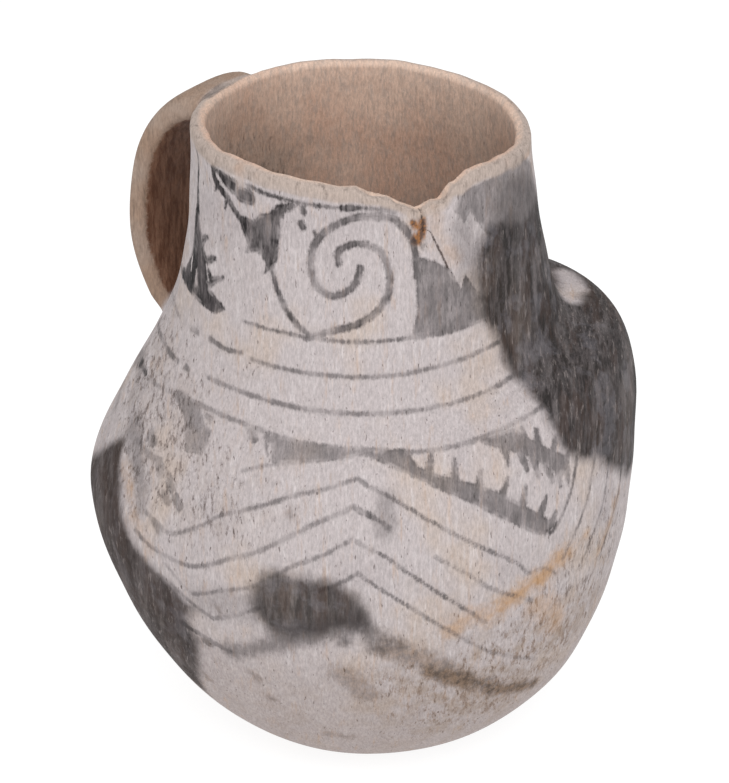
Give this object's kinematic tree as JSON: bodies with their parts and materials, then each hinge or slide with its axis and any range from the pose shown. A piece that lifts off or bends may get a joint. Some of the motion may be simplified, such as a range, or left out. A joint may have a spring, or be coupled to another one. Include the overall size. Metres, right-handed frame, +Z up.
{
  "type": "pitcher",
  "caption": "Small hand-built clay pitcher with a round lopsided body, a short narrowing neck, a chipped lip and one strap handle.",
  "frame": {"origin": "middle of the flat base, on the table", "axes": "+Z up through the mouth, -X toward the handle, +Y to the left of someone who looks along +X"},
  "size_m": [0.1443, 0.1443, 0.171],
  "materials": {
    "clay": "matte slipped clay"
  },
  "bodies": {
    "root": {"pitcher": "clay"}
  },
  "joints": []
}
